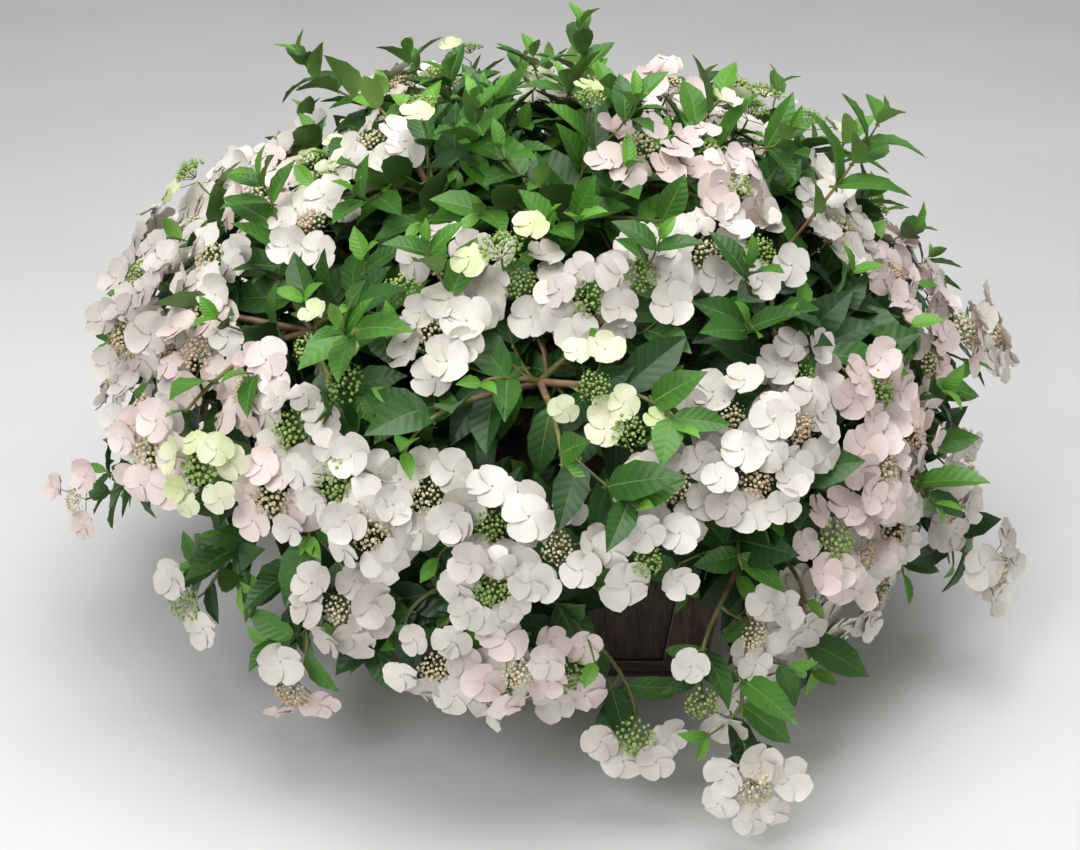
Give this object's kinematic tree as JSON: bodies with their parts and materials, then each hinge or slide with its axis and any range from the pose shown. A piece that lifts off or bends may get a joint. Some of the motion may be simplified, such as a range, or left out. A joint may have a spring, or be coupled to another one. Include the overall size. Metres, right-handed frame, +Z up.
{
  "type": "hydrangea shrub in a planter",
  "caption": "Mounded, trailing lacecap hydrangea shrub with white flowers all over and leafy green shoots on top, growing from soil in a square tapered timber planter.",
  "frame": {"origin": "centre of the planter's flat underside", "axes": "+Z up; -Y is the front, where the flowers cascade lowest; +X is to the right seen from the front"},
  "size_m": [1.0627, 1.0008, 0.6281],
  "materials": {
    "planter_timber": "dark brown stained softwood boards, weathered and matte",
    "potting_soil": "damp dark potting soil, matte",
    "cane_bark": "tan-brown bark, lightly peeling, matte",
    "foliage": "satin green leaves with white to blush flowers"
  },
  "bodies": {
    "root": {"planter_floor": "planter_timber", "planter_wall_front": "planter_timber", "planter_wall_right": "planter_timber", "planter_wall_back": "planter_timber", "planter_wall_left": "planter_timber", "planter_post_1": "planter_timber", "planter_post_2": "planter_timber", "planter_post_3": "planter_timber", "planter_post_4": "planter_timber", "planter_rim_front": "planter_timber", "planter_rim_right": "planter_timber", "planter_rim_back": "planter_timber", "planter_rim_left": "planter_timber", "soil": "potting_soil", "stool": "cane_bark", "cane_skirt_1": "cane_bark", "foliage_skirt_1": "foliage", "cane_skirt_2": "cane_bark", "foliage_skirt_2": "foliage", "cane_skirt_3": "cane_bark", "foliage_skirt_3": "foliage", "cane_skirt_4": "cane_bark", "foliage_skirt_4": "foliage", "cane_skirt_5": "cane_bark", "foliage_skirt_5": "foliage", "cane_skirt_6": "cane_bark", "foliage_skirt_6": "foliage", "cane_skirt_7": "cane_bark", "foliage_skirt_7": "foliage", "cane_skirt_8": "cane_bark", "foliage_skirt_8": "foliage", "cane_skirt_9": "cane_bark", "foliage_skirt_9": "foliage", "cane_shoulder_1": "cane_bark", "foliage_shoulder_1": "foliage", "cane_shoulder_2": "cane_bark", "foliage_shoulder_2": "foliage", "cane_shoulder_3": "cane_bark", "foliage_shoulder_3": "foliage", "cane_shoulder_4": "cane_bark", "foliage_shoulder_4": "foliage", "cane_shoulder_5": "cane_bark", "foliage_shoulder_5": "foliage", "cane_shoulder_6": "cane_bark", "foliage_shoulder_6": "foliage", "cane_shoulder_7": "cane_bark", "foliage_shoulder_7": "foliage", "cane_top_1": "cane_bark", "foliage_top_1": "foliage", "cane_top_2": "cane_bark", "foliage_top_2": "foliage", "cane_top_3": "cane_bark", "foliage_top_3": "foliage", "cane_top_4": "cane_bark", "foliage_top_4": "foliage", "cane_top_5": "cane_bark", "foliage_top_5": "foliage"}
  },
  "joints": []
}
